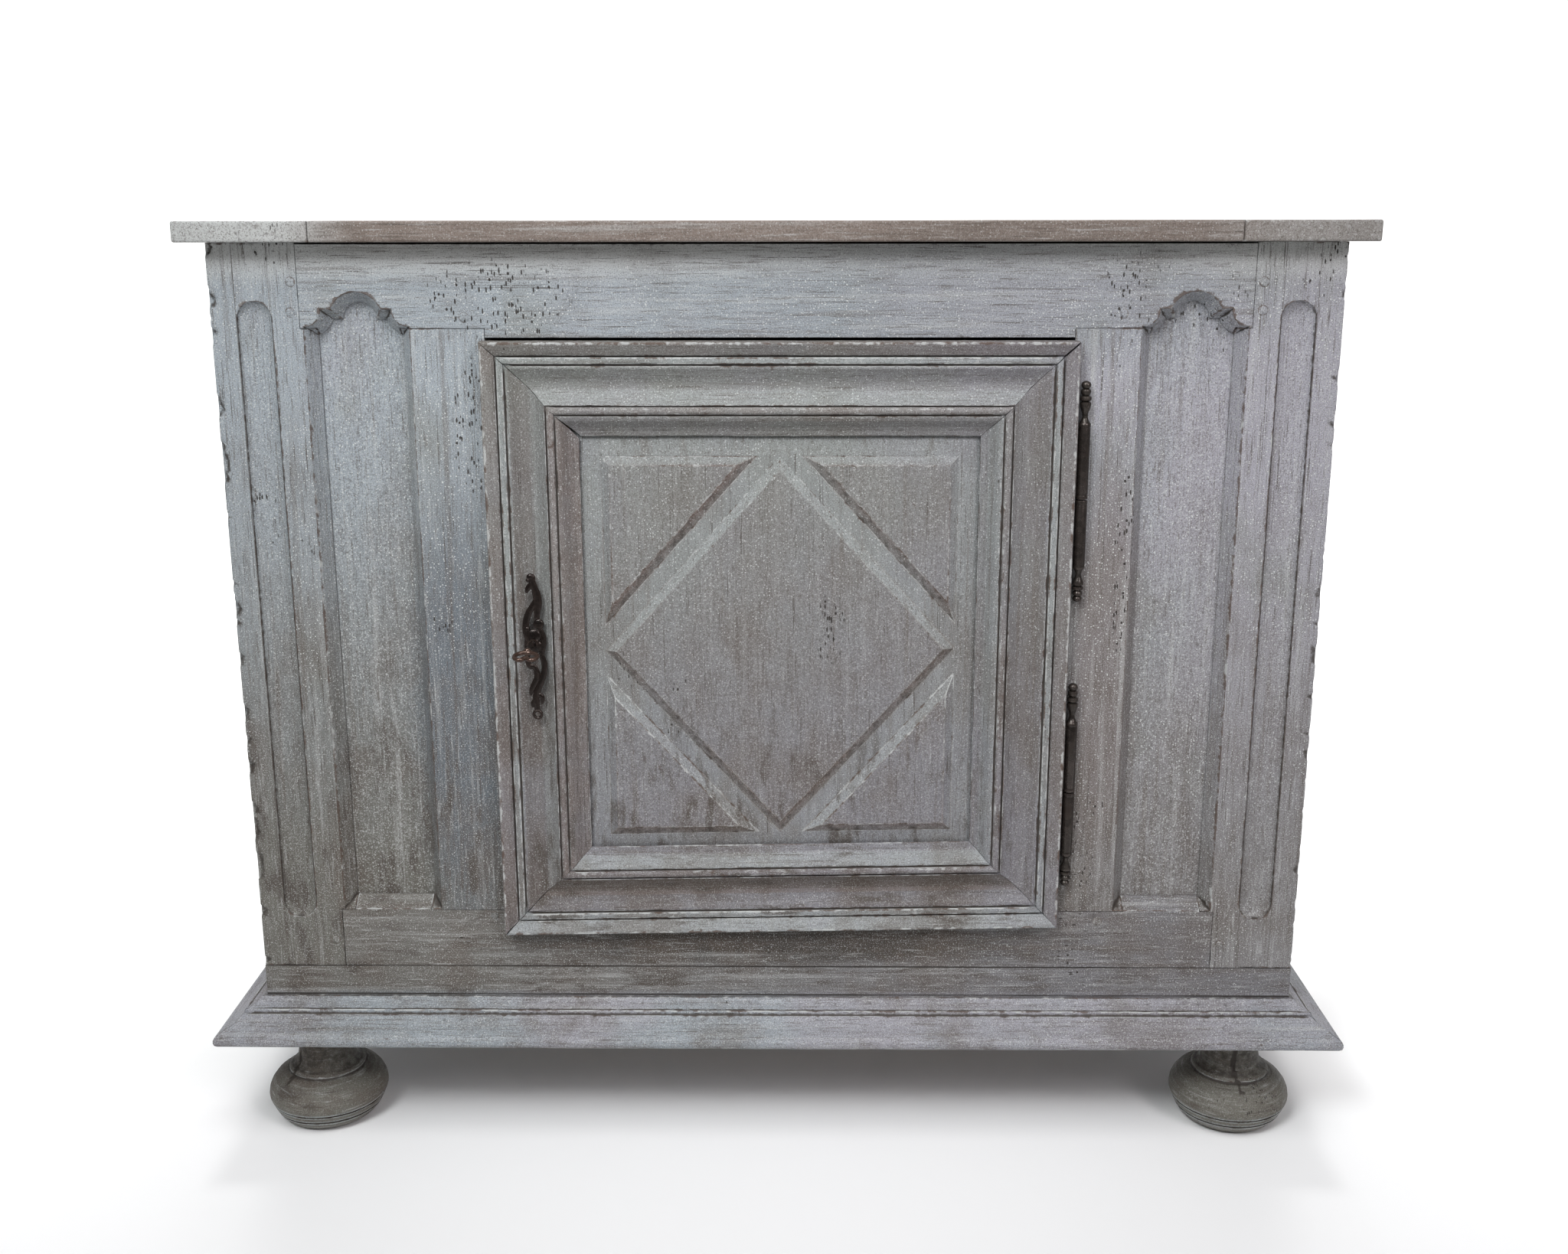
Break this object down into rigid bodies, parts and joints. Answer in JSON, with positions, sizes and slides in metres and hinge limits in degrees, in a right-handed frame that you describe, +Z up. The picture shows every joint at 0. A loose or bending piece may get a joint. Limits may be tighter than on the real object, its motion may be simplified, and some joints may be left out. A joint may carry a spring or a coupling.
{
  "type": "buffet cabinet",
  "caption": "Low painted oak buffet with a single hinged door with a raised lozenge panel, fluted corner stiles, arched side panels, moulded plinth and bun feet.",
  "frame": {"origin": "on the floor, under the middle of the overall box", "axes": "+X along the width to the right of someone facing the door, +Y from the front to the back, +Z up"},
  "size_m": [1.334, 0.6426, 1.0855],
  "materials": {
    "worn_top": "brown-beige worn board with remains of grey paint",
    "grey_paint": "matt grey-blue paint, rubbed and speckled, over oak",
    "lower_paint": "matt grey paint gone brown near the floor",
    "door_paint": "matt green-grey paint with pale rubbed edges",
    "foot_paint": "grey-green paint over dark oak, stained and cracked",
    "raw_oak": "unpainted aged oak",
    "iron": "dark wrought iron",
    "bronze": "dark patinated bronze"
  },
  "bodies": {
    "carcass": {"top_plank_front": "worn_top", "top_plank_rear": "worn_top", "top_cleat_left": "worn_top", "top_cleat_right": "worn_top", "front_stile_left": "grey_paint", "front_stile_right": "grey_paint", "rear_stile_left": "grey_paint", "rear_stile_right": "grey_paint", "front_top_rail": "grey_paint", "front_bottom_rail": "lower_paint", "latch_jamb": "grey_paint", "hinge_jamb": "grey_paint", "front_panel_left": "grey_paint", "front_panel_right": "grey_paint", "base_frame_front": "lower_paint", "base_frame_rear": "lower_paint", "base_frame_left": "lower_paint", "base_frame_right": "lower_paint", "side_top_rail_left": "grey_paint", "side_top_rail_right": "grey_paint", "side_bottom_rail_left": "lower_paint", "side_bottom_rail_right": "lower_paint", "side_panel_left": "grey_paint", "side_panel_right": "grey_paint", "back_top_rail": "raw_oak", "back_bottom_rail": "raw_oak", "back_board_left": "raw_oak", "back_board_middle": "raw_oak", "back_board_right": "raw_oak", "floor_board_front": "raw_oak", "floor_board_rear": "raw_oak", "shelf_board": "raw_oak", "shelf_cleat_left": "raw_oak", "shelf_cleat_right": "raw_oak", "plinth_front": "lower_paint", "plinth_left": "lower_paint", "plinth_right": "lower_paint", "foot_front_left": "foot_paint", "foot_front_right": "foot_paint", "foot_rear_left": "foot_paint", "foot_rear_right": "foot_paint", "upper_hinge_frame_barrel": "iron", "lower_hinge_frame_barrel": "iron", "strike_plate": "iron"},
    "door": {"door_stile_latch": "raw_oak", "door_stile_hinge": "raw_oak", "door_rail_top": "raw_oak", "door_rail_bottom": "raw_oak", "door_moulding_bottom": "door_paint", "door_moulding_right": "door_paint", "door_moulding_top": "door_paint", "door_moulding_left": "door_paint", "door_panel": "door_paint", "upper_hinge_door_barrel": "iron", "lower_hinge_door_barrel": "iron", "lock_cover": "iron", "lock_case": "iron", "escutcheon": "bronze"},
    "bolt": {"lock_bolt": "iron"},
    "key": {"key": "iron"}
  },
  "joints": [
    {"name": "door_swing", "type": "hinge", "parent": "carcass", "child": "door", "pos_m": [0.3387, -0.25316, 0.614], "axis": [0, 0, 1], "range_deg": [0, 115]},
    {"name": "key_turn", "type": "hinge", "parent": "door", "child": "key", "pos_m": [-0.2744, -0.24466, 0.6216], "axis": [0, -1, 0], "range_deg": [0, 180]},
    {"name": "bolt_slide", "type": "slide", "parent": "door", "child": "bolt", "axis": [-1, 0, 0], "range_m": [0, 0.014]}
  ],
  "couplings": [
    {"joint": "key_turn", "follows": "bolt_slide", "rad_per_m": 224.39}
  ]
}
